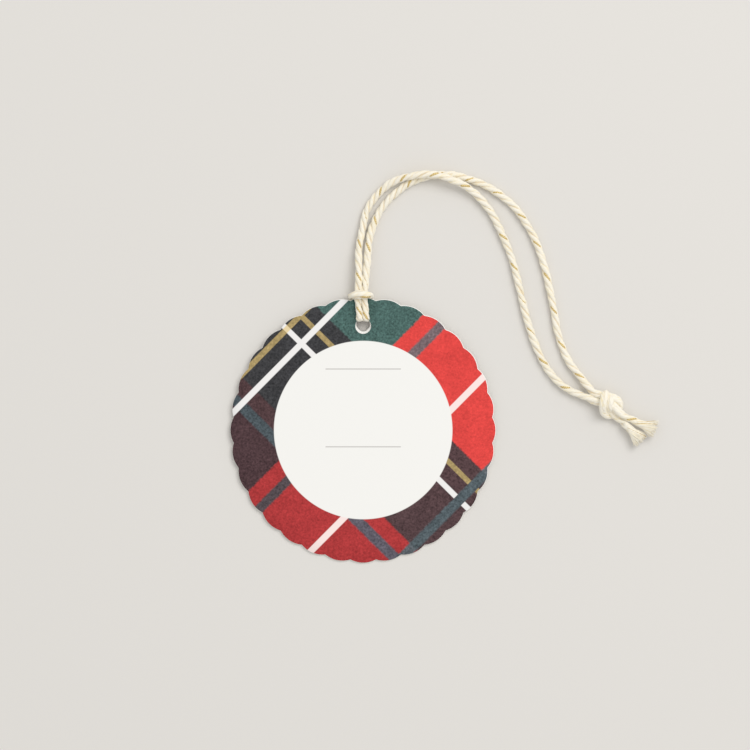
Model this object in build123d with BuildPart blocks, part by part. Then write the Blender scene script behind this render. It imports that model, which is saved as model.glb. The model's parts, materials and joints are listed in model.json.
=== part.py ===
"""Round scalloped gift tag on a doubled twine loop, lying face up on a table.

The card leans a little, because the back of the twine hitch lifts its top edge.
The table is z = 0. +Y points from the middle of the card to the string hole.
"""

import os
from math import atan, cos, radians, sin, sqrt, tan

from build123d import *

os.makedirs("parts", exist_ok=True)

# Card: a die-cut round of thick paper with a scalloped rim, sizes in millimetres
card_r = 31.75
card_thick = 0.6
scallop_count = 32
scallop_r = 6.3
valley_r = 0.6
rim_bevel = 0.12
hole_r = 1.86
hole_inset = 6.85

# Twine: free, squeezed to fill the string hole, bundled in the knot, frayed at its ends
twine_d = 1.8
hole_fill_share = 0.8
knot_d = 1.5
fray_r = 1.25
fray_length = 2.6
twine_sides = 10

# Gaps that keep neighbours apart
table_gap = 0.02
seat_gap = 0.05
strand_gap = 0.1
hole_gap = 0.08
joint_gap = 0.15
hub_margin = 0.08

# Hitch: how far its bight reaches sideways and stands past the rim
bight_half = 2.45
bight_reach = 0.45
turn_share = 0.45

# Neck: the swing pivot past the rim, and the fold pivot further along the strands
swing_reach = 3.45
neck_run = 4.9
neck_drop = 0.65

# Routes of the two legs: x and y from the fold pivot, and lift above lying on the table
leg_left_route = [
    (-1.0, 3.8, 0.75),
    (-0.3, 7.9, 0.15),
    (0.6, 11.9, 0.0),
    (2.4, 15.4, 0.0),
    (5.2, 18.4, 0.25),
    (8.9, 20.4, 1.15),
    (13.2, 21.2, 2.05),
    (17.8, 21.0, 2.15),
    (22.3, 19.5, 1.85),
    (26.3, 17.0, 0.75),
    (29.6, 13.5, 0.1),
    (32.3, 9.2, 0.0),
    (34.4, 4.2, 0.0),
    (36.2, -1.4, 0.0),
    (37.7, -7.4, 0.0),
    (39.1, -13.5, 0.0),
    (40.8, -18.9, 0.0),
    (43.1, -24.2, 0.0),
    (46.3, -28.5, 0.05),
    (50.2, -31.0, 0.3),
]
leg_right_route = [
    (1.2, 3.8, 0.75),
    (2.0, 8.0, 0.15),
    (3.5, 11.6, 0.0),
    (5.9, 14.9, 0.0),
    (8.8, 17.6, 0.0),
    (12.2, 19.7, 0.0),
    (16.1, 20.8, 0.0),
    (20.2, 21.0, 0.0),
    (24.5, 20.3, 0.0),
    (29.0, 18.8, 0.0),
    (33.3, 16.0, 0.0),
    (36.9, 12.4, 0.0),
    (39.7, 8.4, 0.0),
    (41.8, 4.0, 0.0),
    (43.5, -1.2, 0.0),
    (44.8, -7.2, 0.0),
    (45.8, -13.2, 0.0),
    (46.9, -18.4, 0.0),
    (49.0, -23.6, 0.05),
    (52.1, -27.7, 0.3),
]

# End knot: its place from the fold pivot, its turn, and routes along it, across it and above the table
knot_place = (59.1, -34.0)
knot_turn = -33.0
knot_route = [
    (-5.3, -0.5, 1.9),
    (-4.0, -0.5, 1.9),
    (-2.7, 0.0, 2.1),
    (-1.4, 0.7, 2.3),
    (-0.1, 1.4, 2.6),
    (1.2, 1.7, 2.0),
    (2.2, 0.8, 1.1),
    (2.2, -0.7, 0.78),
    (1.4, -2.0, 1.0),
    (0.2, -2.4, 2.0),
    (-0.5, -1.5, 3.1),
    (-1.0, -0.2, 3.9),
    (-1.5, 1.1, 4.1),
    (-1.8, 2.4, 3.4),
    (-1.6, 2.8, 2.0),
    (-1.0, 1.9, 0.8),
    (-0.2, 0.5, 0.8),
    (0.6, -0.3, 1.7),
    (1.6, -0.6, 2.6),
    (2.8, -0.9, 2.4),
    (3.9, -1.0, 1.9),
    (4.9, -1.0, 1.9),
]
tail_upper_route = [(6.2, 0.0, 1.9), (8.0, 0.3, 1.35), (9.8, 0.75, 1.35)]
tail_lower_route = [(6.1, -2.0, 1.9), (7.4, -2.2, 1.35), (8.5, -2.55, 1.35)]
entry_run = 1.7

# Sampling of a tube, in diameters, to measure its gap to itself
sample_share = 0.1
bend_reach_share = 3.2

# Sizes worked out from the ones above
hole_up = card_r - hole_inset
hitch_d = hole_fill_share * hole_r
hitch_r = hitch_d / 2
twine_r = twine_d / 2
strand_x = (hitch_d + strand_gap) / 2
front_z = card_thick + seat_gap + hitch_r
back_z = -(seat_gap + hitch_r)
bight_z = front_z + hitch_d + strand_gap
bight_y = card_r + bight_reach
hole_turn_r = turn_share * (front_z - back_z)
bight_turn_r = turn_share * (bight_z - back_z)
strand_in_hole = sqrt((hole_r - hole_gap - hitch_r) ** 2 - strand_x**2)
turn_y = hole_up + strand_in_hole
swing_y = card_r + swing_reach
fold_half = twine_r + strand_gap
swing_hub_r = strand_x + hitch_r + hub_margin
fold_hub_r = fold_half + twine_r + hub_margin

# The hitch's back strands and the lower rim both touch the table
tilt = atan((seat_gap + hitch_d) / (card_r + turn_y + hole_turn_r))
card_plane = Plane(
    origin=(0, 0, card_r * sin(tilt)),
    x_dir=(1, 0, 0),
    z_dir=(0, -sin(tilt), cos(tilt)),
)
swing_point = card_plane.from_local_coords(Vector(0, swing_y, front_z))
fold_point = swing_point + Vector(0, neck_run, -neck_drop)
neck_dir = (fold_point - swing_point).normalized()
knot_plane = Plane(
    origin=(fold_point.X + knot_place[0], fold_point.Y + knot_place[1], 0),
    x_dir=(cos(radians(knot_turn)), sin(radians(knot_turn)), 0),
    z_dir=(0, 0, 1),
)


def corner_radii(points):
    """Largest radius at each corner: a share of the shorter run over the tangent of half the turn."""
    radii = []
    for before, here, after in zip(points, points[1:], points[2:]):
        run_in = here - before
        run_out = after - here
        half_turn = radians(run_in.get_angle(run_out)) / 2
        radii.append(turn_share * min(run_in.length, run_out.length) / tan(half_turn))
    return radii


def least_gap(route, diameter):
    """Least gap of a tube to itself, between points further apart along it than its own bends reach."""
    count = round(route.length / (sample_share * diameter))
    places = [route @ (index / count) for index in range(count + 1)]
    skip = round(bend_reach_share / sample_share)
    pairs = [(first, second) for index, first in enumerate(places) for second in places[index + skip :]]
    return min((second - first).length for first, second in pairs) - diameter


def twine_tube(points, radii, diameter):
    """Round tube along straight runs joined by tangent arcs."""
    with BuildPart() as tube:
        with BuildLine():
            route = FilletPolyline(*points, radius=radii)
        with BuildSketch(Plane(origin=route @ 0, z_dir=route % 0)) as section:
            RegularPolygon(diameter / 2, twine_sides)
        sweep()
    length = route.length
    share = tube.part.volume / (section.sketch.area * length)
    rounded = ", ".join(f"{radius:.1f}" for radius in radii)
    print(f"length {length:.1f} mm, volume {share:.4f} of section times length, radii {rounded}")
    if length > bend_reach_share * diameter:
        print(f"least gap to itself {least_gap(route, diameter):.2f} mm")
    return tube.part


def hub_socket(center, hub_r):
    """Space behind a pivot that a strand leaves free, so that its end is round about the pivot."""
    with BuildPart() as socket:
        with BuildSketch(Plane(origin=center, z_dir=-neck_dir)):
            Circle(2 * hub_r)
        extrude(amount=2 * hub_r)
        with Locations(center):
            Sphere(hub_r, mode=Mode.SUBTRACT)
    return socket.part


def save(part, name):
    part.label = name
    export_step(part, f"parts/{name}.step")
    print(f"{name}: {part.volume:.2f} mm3")


# Card: one sheet, with the blunt front edge that die-cutting leaves
with BuildPart() as card:
    with BuildSketch(card_plane) as outline:
        Circle(card_r - scallop_r)
        with PolarLocations(card_r - scallop_r, scallop_count):
            Circle(scallop_r)
        fillet(outline.vertices(), radius=valley_r)
        with Locations((0, hole_up)):
            Circle(hole_r, mode=Mode.SUBTRACT)
    extrude(amount=card_thick)
    front = card.faces().sort_by(Axis(card_plane.origin, card_plane.z_dir))[-1]
    chamfer(front.outer_wire().edges(), length=rim_bevel)
save(card.part, "tag_card")

# Hitch: one strand from the neck down the front, through the hole, up the back and over the rim,
# across both fronts as the bight, and the same way back
half_hitch = [
    Vector(strand_x, swing_y, front_z),
    Vector(strand_x, turn_y, front_z),
    Vector(strand_x, turn_y, back_z),
    Vector(bight_half, bight_y, back_z),
    Vector(bight_half, bight_y, bight_z),
]
other_half = [Vector(-point.X, point.Y, point.Z) for point in reversed(half_hitch)]
hitch_points = [card_plane.from_local_coords(point) for point in half_hitch + other_half]
half_turns = [hole_turn_r, hole_turn_r, hole_turn_r, bight_turn_r]
with BuildPart() as hitch:
    add(twine_tube(hitch_points, half_turns + half_turns[::-1], hitch_d))
    with Locations(swing_point):
        Sphere(swing_hub_r + joint_gap, mode=Mode.SUBTRACT)
save(hitch.part, "twine_hitch")

# Neck: two strands that swell from the squeezed hitch to the free twine
swing_socket = hub_socket(swing_point, swing_hub_r)
for name, side in (("neck_left", -1), ("neck_right", 1)):
    strand_start = swing_point + Vector(side * strand_x, 0, 0) - neck_dir * swing_hub_r
    strand_end = fold_point + Vector(side * fold_half, 0, 0)
    along = (strand_end - strand_start).normalized()
    with BuildPart() as neck:
        with BuildSketch(Plane(origin=strand_start, z_dir=along)):
            RegularPolygon(hitch_r, twine_sides)
        with BuildSketch(Plane(origin=strand_end, z_dir=along)):
            RegularPolygon(twine_r, twine_sides)
        loft()
        add(swing_socket, mode=Mode.SUBTRACT)
        with Locations(fold_point):
            Sphere(fold_hub_r + joint_gap, mode=Mode.SUBTRACT)
    save(neck.part, name)

# Legs: from the fold pivot round the loop to the end knot
fold_socket = hub_socket(fold_point, fold_hub_r)
lying = twine_r + table_gap
knot_in = Vector(*knot_route[0])
knot_out = Vector(*knot_route[-1])
for name, side, route in (("leg_left", -1, leg_left_route), ("leg_right", 1, leg_right_route)):
    leg_start = fold_point + Vector(side * fold_half, 0, 0)
    leg_end = knot_in + Vector(0, side * fold_half, 0)
    points = [leg_start - neck_dir * fold_hub_r, leg_start]
    points += [Vector(fold_point.X + x, fold_point.Y + y, lying + lift) for x, y, lift in route]
    points += [knot_plane.from_local_coords(leg_end - Vector(entry_run, 0, 0))]
    points += [knot_plane.from_local_coords(leg_end)]
    with BuildPart() as leg:
        add(twine_tube(points, corner_radii(points), twine_d))
        add(fold_socket, mode=Mode.SUBTRACT)
    save(leg.part, name)

# End knot: an overhand knot, with both strands as one bundle
knot_points = [knot_plane.from_local_coords(Vector(*point)) for point in knot_route]
with BuildPart() as knot:
    add(twine_tube(knot_points, corner_radii(knot_points), knot_d))
save(knot.part, "end_knot")

# Tails: cut ends past the knot, frayed into a small brush
for name, side, route in (("tail_right", 1, tail_upper_route), ("tail_left", -1, tail_lower_route)):
    start = knot_out + Vector(0, side * fold_half, 0)
    points = [knot_plane.from_local_coords(point) for point in (start, *(Vector(*p) for p in route))]
    brush_dir = (points[-1] - points[-2]).normalized()
    with BuildPart() as tail:
        add(twine_tube(points, corner_radii(points), twine_d))
        with BuildSketch(Plane(origin=points[-1], z_dir=brush_dir)):
            RegularPolygon(twine_r, twine_sides)
        with BuildSketch(Plane(origin=points[-1] + brush_dir * fray_length, z_dir=brush_dir)):
            RegularPolygon(fray_r, twine_sides)
        loft()
    save(tail.part, name)
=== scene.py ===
# %% [markdown]
# # A round gift tag on a loop of cotton twine
# The tag is one sheet of thick printed paper with a scalloped rim, and one length of three-ply cotton twine
# with a gold thread in its lay. The sheet lies face up. The twine is doubled, hitched through the punched
# hole, and its two ends are tied in one knot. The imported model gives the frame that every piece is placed
# in. Sizes are written in millimetres and become metres when a mesh is made.

# %% The frame and the tools
import json

import bpy
import numpy as np
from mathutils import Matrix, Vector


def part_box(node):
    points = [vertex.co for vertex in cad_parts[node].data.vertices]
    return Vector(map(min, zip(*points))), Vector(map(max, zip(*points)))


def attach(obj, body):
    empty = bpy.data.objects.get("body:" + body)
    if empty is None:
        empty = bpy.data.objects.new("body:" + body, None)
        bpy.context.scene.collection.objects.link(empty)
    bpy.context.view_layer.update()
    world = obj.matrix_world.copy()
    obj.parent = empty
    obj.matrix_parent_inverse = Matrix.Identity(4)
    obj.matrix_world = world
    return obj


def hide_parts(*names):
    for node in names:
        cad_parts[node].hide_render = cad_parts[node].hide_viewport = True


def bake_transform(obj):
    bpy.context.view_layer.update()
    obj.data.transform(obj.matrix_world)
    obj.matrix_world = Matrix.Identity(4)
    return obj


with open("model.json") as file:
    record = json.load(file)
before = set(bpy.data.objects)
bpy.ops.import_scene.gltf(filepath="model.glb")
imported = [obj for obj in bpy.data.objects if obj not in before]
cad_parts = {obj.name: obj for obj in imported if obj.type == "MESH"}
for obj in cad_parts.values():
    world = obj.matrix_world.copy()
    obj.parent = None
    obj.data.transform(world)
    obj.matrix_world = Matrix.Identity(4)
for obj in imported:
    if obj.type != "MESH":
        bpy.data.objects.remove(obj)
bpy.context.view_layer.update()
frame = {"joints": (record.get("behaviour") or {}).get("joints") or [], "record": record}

MM = 0.001
mounts = {mount["name"]: mount for mount in frame["record"]["mounts"]}
joints = {joint["name"]: joint for joint in frame["joints"]}
fold_pivot = np.array(joints["loop_fold"]["pos_m"]) / MM

# %% [markdown]
# ## The camera and the light
# The photograph looks straight down, so the camera hangs over the table with its top towards +Y. The
# picture's width on the table and its middle come from the card's size in the picture. A sun would make
# hard shadows, and those in the photograph are soft and fall to the lower left. So one wide lamp stands at
# the upper right, and a pale world fills the shadows.

# %% Camera
PICTURE_WIDTH = 179.5 * MM
PICTURE_MIDDLE = (2.825 * MM, 13.167 * MM)
CAMERA_HEIGHT = 0.9
SENSOR_WIDTH = 36.0
CLIP_START = 0.01

scene = bpy.context.scene
scene.view_settings.view_transform = "Standard"

camera_data = bpy.data.cameras.new("camera")
camera_data.sensor_width = SENSOR_WIDTH
camera_data.lens = SENSOR_WIDTH * CAMERA_HEIGHT / PICTURE_WIDTH
camera_data.clip_start = CLIP_START
camera = bpy.data.objects.new("camera", camera_data)
camera.location = (*PICTURE_MIDDLE, CAMERA_HEIGHT)
scene.collection.objects.link(camera)
scene.camera = camera
print("lens in millimetres", round(camera_data.lens, 1))

# %% Lamp and world
LAMP_PLACE = (0.60, 0.61, 1.17)
LAMP_SIZE = 0.95
LAMP_POWER = 9.3
LAMP_COLOUR = (1.0, 0.99, 0.975)
WORLD_COLOUR = (1.0, 1.0, 1.0, 1.0)
WORLD_STRENGTH = 0.695

lamp_data = bpy.data.lights.new("lamp", "AREA")
lamp_data.energy = LAMP_POWER
lamp_data.shape = "DISK"
lamp_data.size = LAMP_SIZE
lamp_data.color = LAMP_COLOUR
lamp = bpy.data.objects.new("lamp", lamp_data)
lamp.location = LAMP_PLACE
aim = camera.location.copy()
aim.z = 0.0
lamp.rotation_euler = (lamp.location - aim).to_track_quat("Z", "Y").to_euler()
scene.collection.objects.link(lamp)

world = bpy.data.worlds.new("world")
world.use_nodes = True
sky = world.node_tree.nodes["Background"]
sky.inputs["Color"].default_value = WORLD_COLOUR
sky.inputs["Strength"].default_value = WORLD_STRENGTH
scene.world = world
print("lamp power in watts", LAMP_POWER, "world strength", WORLD_STRENGTH)

# %% [markdown]
# ## Shader maths as Python
# A material is a graph of nodes. It could be wired node by node, but its maths reads best as an expression.
# So `Wire` wraps one socket: an operator adds a Math node and gives back its output, and `node` adds any
# other node.


# %% Sockets in expressions
class Wire:
    """One output socket of a material, for use in Python expressions."""

    def __init__(self, tree, socket=None):
        self.tree = tree
        self.socket = socket

    def node(self, kind, values=None, outlet=0, **settings):
        """Adds a node, sets its settings, then its inputs by name or number, and returns one output."""
        added = self.tree.nodes.new(kind)
        for name, value in settings.items():
            setattr(added, name, value)
        for name, value in (values or {}).items():
            if isinstance(value, Wire):
                self.tree.links.new(value.socket, added.inputs[name])
            else:
                added.inputs[name].default_value = value
        return Wire(self.tree, added.outputs[outlet])

    def output(self, name):
        """Another output of the node that this one comes from."""
        return Wire(self.tree, self.socket.node.outputs[name])

    def math(self, operation, *values, clamp=False):
        return self.node("ShaderNodeMath", dict(enumerate(values)), operation=operation, use_clamp=clamp)

    def __add__(self, other):
        return self.math("ADD", self, other)

    def __sub__(self, other):
        return self.math("SUBTRACT", self, other)

    def __rsub__(self, other):
        return self.math("SUBTRACT", other, self)

    def __mul__(self, other):
        return self.math("MULTIPLY", self, other)

    def __truediv__(self, other):
        return self.math("DIVIDE", self, other)

    __radd__ = __add__
    __rmul__ = __mul__

    def clamped(self):
        return self.math("ADD", self, 0.0, clamp=True)

    def step(self, place, soft):
        """0 below a place and 1 above it, with an edge that is soft wide."""
        return ((self - place) / soft + 0.5).clamped()

    def within(self, low, high, soft):
        """1 between two places and 0 outside them."""
        return self.step(low, soft) * (1 - self.step(high, soft))

    def mix(self, first, second):
        """The first colour where this is 0, the second where it is 1. A Mix node has its two colours on
        inputs 6 and 7, and their mix on output 2."""
        return self.node("ShaderNodeMix", {0: self, 6: first, 7: second}, outlet=2, data_type="RGBA")

    def noise(self, scale, detail, roughness=0.5):
        """A cloudy pattern about 0.5 that reads this as its place."""
        values = {"Vector": self, "Scale": scale, "Detail": detail, "Roughness": roughness}
        return self.node("ShaderNodeTexNoise", values)

    def bump(self, strength, depth):
        """The normal of a surface that has this as its height, up to a depth in millimetres."""
        return self.node("ShaderNodeBump", {"Strength": strength, "Distance": depth * MM, "Height": self})


# %% [markdown]
# ## The table
# The tag lies on a pale, matt table.


# %% Colours and materials
def linear(red, green, blue):
    """A screen colour of 0 to 255 as the linear colour that shaders take, by the sRGB curve: a straight
    line near black, and above it a power of 2.4."""
    value = np.array([red, green, blue]) / 255
    return (*np.where(value <= 0.04045, value / 12.92, ((value + 0.055) / 1.055) ** 2.4), 1.0)


def new_material(name):
    """A material with a Principled shader, and a Wire to start its expressions from."""
    material = bpy.data.materials.new(name)
    material.use_nodes = True
    return material, Wire(material.node_tree), material.node_tree.nodes["Principled BSDF"]


def feed(shader, **inputs):
    """Sets or links sockets of a shader; an underscore stands for a space in a socket's name."""
    for name, value in inputs.items():
        socket = shader.inputs[name.replace("_", " ")]
        if isinstance(value, Wire):
            value.tree.links.new(value.socket, socket)
        else:
            socket.default_value = value


print("middle grey on the screen is", linear(128, 128, 128)[0].round(3), "in linear light")

# %% The table
TABLE_HALF = 2.0
TABLE_COLOUR = linear(224, 221, 216)
TABLE_ROUGHNESS = 0.9
TABLE_SHINE = 0.1

table_material, wire, shader = new_material("pale_table")
feed(shader, Base_Color=TABLE_COLOUR, Roughness=TABLE_ROUGHNESS, Specular_IOR_Level=TABLE_SHINE)
table_mesh = bpy.data.meshes.new("table")
corners = np.array([(-1, -1, 0), (1, -1, 0), (1, 1, 0), (-1, 1, 0)]) * TABLE_HALF
table_mesh.from_pydata(corners.tolist(), [], [(0, 1, 2, 3)])
table_mesh.materials.append(table_material)
table = bpy.data.objects.new("table", table_mesh)
scene.collection.objects.link(table)
print("table is", 2 * TABLE_HALF, "metres wide")

# %% [markdown]
# ## Meshes from arrays
# Every new piece is a set of grids: rows of points that close round a tube or a rim. A loop could make one
# vertex after another, but the twine has more than a hundred thousand, so the helpers turn whole arrays
# into one mesh.


# %% Grids into meshes
class Pile:
    """Collects grids of points, closed round each row, and makes one mesh of them."""

    def __init__(self):
        self.points, self.places, self.normals = [], [], []
        self.quads, self.triangles = [], []
        self.quad_finishes, self.triangle_finishes = [], []
        self.count = 0

    def add(self, grid, finish=0, place=None, loop=False, normal=None):
        """One grid, or a stack of grids, of rows by columns by three. The columns close up. The rows close
        up too if loop is set, and otherwise a fan of triangles closes each end. A normal of zero stands for
        the mesh's own."""
        grid = grid.reshape(-1, *grid.shape[-3:])
        place = np.zeros_like(grid) if place is None else place.reshape(grid.shape)
        normal = np.zeros_like(grid) if normal is None else normal
        items, rows, columns = grid.shape[:3]
        number = np.arange(items * rows * columns).reshape(items, rows, columns) + self.count
        after = np.roll(number, -1, axis=2)
        last = rows if loop else rows - 1
        corners = [number, after, np.roll(after, -1, axis=1), np.roll(number, -1, axis=1)]
        self.quads.append(np.stack([corner[:, :last] for corner in corners], axis=-1).reshape(-1, 4))
        finish = np.broadcast_to(np.asarray(finish).reshape(1, -1, 1), (items, last, columns))
        self.quad_finishes.append(finish.reshape(-1))
        self.points.append(grid.reshape(-1, 3))
        self.places.append(place.reshape(-1, 3))
        self.normals.append(normal.reshape(-1, 3))
        self.count += grid.size // 3
        if not loop:
            self.close(grid[:, 0], place[:, 0], after[:, 0], number[:, 0], finish[:, 0])
            self.close(grid[:, -1], place[:, -1], number[:, -1], after[:, -1], finish[:, -1])

    def close(self, ring, place, first, second, finish):
        """A fan from the middle of each ring to its edges."""
        middle = np.arange(len(ring))[:, None] + self.count
        fan = np.stack([np.broadcast_to(middle, first.shape), first, second], axis=-1)
        self.triangles.append(fan.reshape(-1, 3))
        self.triangle_finishes.append(finish.reshape(-1))
        self.points.append(ring.mean(axis=1))
        self.places.append(place.mean(axis=1))
        self.normals.append(np.zeros((len(ring), 3)))
        self.count += len(ring)

    def make(self, name, materials, attribute=None):
        """One mesh object of all grids, smooth but for the flat fans, with a finish number on each face."""
        points = np.concatenate(self.points) * MM
        quads = np.concatenate(self.quads)
        triangles = np.concatenate([np.zeros((0, 3), int), *self.triangles])
        starts = np.concatenate([np.arange(len(quads)) * 4, quads.size + np.arange(len(triangles)) * 3])
        mesh = bpy.data.meshes.new(name)
        mesh.vertices.add(len(points))
        mesh.vertices.foreach_set("co", points.astype(np.float32).ravel())
        mesh.loops.add(quads.size + triangles.size)
        corners = np.concatenate([quads.ravel(), triangles.ravel()])
        mesh.loops.foreach_set("vertex_index", corners.astype(np.int32))
        mesh.polygons.add(len(starts))
        mesh.polygons.foreach_set("loop_start", starts.astype(np.int32))
        finishes = np.concatenate([*self.quad_finishes, *self.triangle_finishes])
        mesh.polygons.foreach_set("material_index", finishes.astype(np.int32))
        mesh.polygons.foreach_set("use_smooth", np.arange(len(starts)) < len(quads))
        for material in materials:
            mesh.materials.append(material)
        if attribute:
            layer = mesh.attributes.new(attribute, "FLOAT_VECTOR", "POINT")
            layer.data.foreach_set("vector", np.concatenate(self.places).astype(np.float32).ravel())
        mesh.update(calc_edges=True)
        mesh.validate()
        normals = np.concatenate(self.normals)
        if normals.any():
            mesh.normals_split_custom_set_from_vertices(normals.tolist())
        piece = bpy.data.objects.new(name, mesh)
        scene.collection.objects.link(piece)
        print(f"{name}: {len(points)} points, {len(starts)} faces")
        return piece


# %% [markdown]
# ## The card
# The card is a sheet of thick paper that a die cut into a round with scallops and punched for the string.
# It could be a flat outline with a Solidify modifier, but the die leaves the front edge blunt and the back
# edge sharper. So the sheet is a ring: its front runs from the hole to the rim, turns over the cut edge,
# runs back underneath and comes up through the hole. That is one grid that closes both ways, with no seam
# and no pole.

# %% The plane of the card
CARD_THICK = 0.6
HOLE_RADIUS = 1.82
HOLE_INSET = 6.85

card_low, card_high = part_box("tag_card")
CARD_RADIUS = (card_high.x - card_low.x) / 2 / MM
HOLE_UP = CARD_RADIUS - HOLE_INSET
card_up = np.array(mounts["writing_panel"]["axis"])
card_back_middle = np.array(mounts["card_back"]["pos_m"]) / MM
card_right = np.array([1.0, 0.0, 0.0])
card_north = np.cross(card_up, card_right)
card_axes = np.stack([card_right, card_north, card_up])


def on_card(places):
    """Points given by x, y and height on the card's own plane, moved into the frame of the part."""
    return card_back_middle + np.asarray(places, float) @ card_axes


print("card radius in millimetres", round(CARD_RADIUS, 3))
print("card leans by degrees", round(np.degrees(np.arccos(card_up[2])), 2))

# %% The scalloped rim
SCALLOP_COUNT = 32
SCALLOP_RADIUS = 6.3
VALLEY_SOFT = 0.035


def rim_outline(angle):
    """The rim's radius: each scallop is a circle about a point inside the card, met by a ray from the
    middle. Near a valley two circles meet, and a soft maximum of both rounds the corner."""
    pitch = 2 * np.pi / SCALLOP_COUNT
    from_tip = (angle + pitch / 2) % pitch - pitch / 2
    middle = CARD_RADIUS - SCALLOP_RADIUS

    def circle(turn):
        inside = np.clip(SCALLOP_RADIUS**2 - (middle * np.sin(turn)) ** 2, 0, None)
        return middle * np.cos(turn) + np.sqrt(inside)

    near = circle(from_tip)
    beside = circle(pitch - np.abs(from_tip))
    return VALLEY_SOFT * np.logaddexp(near / VALLEY_SOFT, beside / VALLEY_SOFT)


tip, valley = rim_outline(np.array([0.0, np.pi / SCALLOP_COUNT]))
print("scallop tip and valley, millimetres from the middle", tip.round(2), valley.round(2))

# %% Rows of the sheet
RIM_ROUND = 0.15
BACK_ROUND = 0.1
HOLE_ROUND = 0.05
FACE_ROWS = 14
ROUND_ROWS = 6
WALL_SHARES = [(0.0, 1.0), (0.2, 1.0), (0.45, 0.93), (0.68, 0.4)]


def sheet_rows():
    """The rows of the sheet in their order round the ring: hole edge, front, rim edge, back edge, back and
    wall of the hole. Each row has its share of the way from the hole to the rim, its height, its gaps to
    the hole and to the rim, its share of the hole's lip, and a 1 if the strip after it is bare paper. Edges
    are quarter circles."""
    quarter = np.linspace(0, np.pi / 2, ROUND_ROWS)
    by_sine = 1 - np.sin(quarter)
    by_cosine = 1 - np.cos(quarter)
    over = np.linspace(0, 1, FACE_ROWS)[1:-1]
    wall_height, wall_lip = np.array(WALL_SHARES).T

    def rows(share, height, hole_gap=0.0, rim_gap=0.0, lip=0.0, bare=1):
        return np.stack(np.broadcast_arrays(share, height, hole_gap, rim_gap, lip, bare))

    hole_height = CARD_THICK - HOLE_ROUND * by_sine
    groups = [
        rows(0.0, hole_height, hole_gap=HOLE_ROUND * by_cosine, bare=quarter < quarter[-1]),
        rows(over, CARD_THICK, hole_gap=HOLE_ROUND, rim_gap=RIM_ROUND, bare=0),
        rows(1.0, CARD_THICK - RIM_ROUND * by_cosine, rim_gap=RIM_ROUND * by_sine),
        rows(1.0, BACK_ROUND * by_sine, rim_gap=BACK_ROUND * by_cosine),
        rows(over[::-1], 0.0, rim_gap=BACK_ROUND, lip=1.0),
        rows(0.0, CARD_THICK * wall_height, lip=wall_lip),
    ]
    return np.concatenate(groups, axis=1)


print("rows of the sheet", sheet_rows().shape[1])

# %% The sheet
STEPS_PER_SCALLOP = 32
HOLE_LIP = 0.5
LIP_MEAN = 0.5
LIP_SWING = 0.9
PRESSED_FACING = np.radians(40.0)
PRESSED_MEAN = 0.4
PRESSED_SWING = 0.6
PRESSED_LEAST = 0.2


def unit(ways):
    """Directions, each divided by its length."""
    return ways / np.linalg.norm(ways, axis=-1, keepdims=True)


def card_sheet():
    """Each row is a mix, by its share, of the hole's circle and the rim's outline, moved back by its gaps.
    The wall of the hole leans in where no twine lies against it, and the rim is pressed rounder on one
    side."""
    angle = np.pi / 2 - np.linspace(0, 2 * np.pi, STEPS_PER_SCALLOP * SCALLOP_COUNT, endpoint=False)
    rim = rim_outline(angle)[:, None] * np.stack([np.cos(angle), np.sin(angle)], axis=1)
    along = np.roll(rim, -1, axis=0) - np.roll(rim, 1, axis=0)
    outward = unit(np.stack([-along[:, 1], along[:, 0]], axis=1))
    pressed = np.clip(PRESSED_MEAN + PRESSED_SWING * np.cos(angle - PRESSED_FACING), PRESSED_LEAST, 1)
    hole = np.array([0.0, HOLE_UP])
    to_rim = unit(rim - hole)
    lean_in = HOLE_LIP * np.clip(LIP_MEAN - LIP_SWING * to_rim[:, 1], 0, 1)

    share, height, hole_gap, rim_gap, lip, bare = sheet_rows()[:, :, None]
    inward = hole_gap - lip * lean_in
    inner = hole + to_rim * (HOLE_RADIUS + inward)[..., None]
    outer = rim - outward * (rim_gap * pressed)[..., None]
    plan = inner * (1 - share)[..., None] + outer * share[..., None]
    tall = np.broadcast_to(height[..., None], (*plan.shape[:2], 1))
    return on_card(np.concatenate([plan, tall], axis=2)), bare[:, 0]


sheet, sheet_finish = card_sheet()
print("rows and columns of the sheet", sheet.shape[:2])

# %% [markdown]
# ## The print on the card
# The border is a printed tartan turned by 45 degrees. It could be a picture laid on the sheet, but a tartan
# is two sets of stripes that cross. So its colour comes from two coordinates across the stripes and stays
# sharp at any size. Each row of stripes has its own list of colours across the columns, thin lines of white
# and gold lie over them, and noise gives the ink its woven mottling.

# %% Stripes of the tartan
TARTAN_TURN = np.radians(45.27)
STRIPE_SOFT = 0.42
STRIPE_RAGGED = 0.6
COLUMN_EDGES = (-17.71, -15.08, -11.39, 13.16)
ROW_EDGES = (-29.30, -26.90, 3.21, 5.51, 9.19)
RED_ROW = [(176, 59, 60), (96, 92, 102), (176, 59, 60), (85, 65, 67), (223, 73, 69)]
DARK_ROW = [(79, 59, 62), (76, 86, 91), (83, 62, 64), (62, 62, 64), (77, 105, 100)]
GREY_ROW = [(85, 76, 80), (72, 76, 84), (85, 76, 80), (68, 68, 71), (119, 103, 107)]
TEAL_ROW = [(88, 90, 96), (78, 88, 95), (93, 99, 104), (84, 95, 100), (96, 102, 107)]
ROW_COLOURS = [RED_ROW, TEAL_ROW, RED_ROW, GREY_ROW, RED_ROW, DARK_ROW]


def piecewise(place, edges, colours):
    """The colour of the stripe that a place falls in; colours has one more entry than edges."""
    found = colours[0]
    for edge, colour in zip(edges, colours[1:]):
        found = place.step(edge, STRIPE_SOFT).mix(found, colour)
    return found


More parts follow.
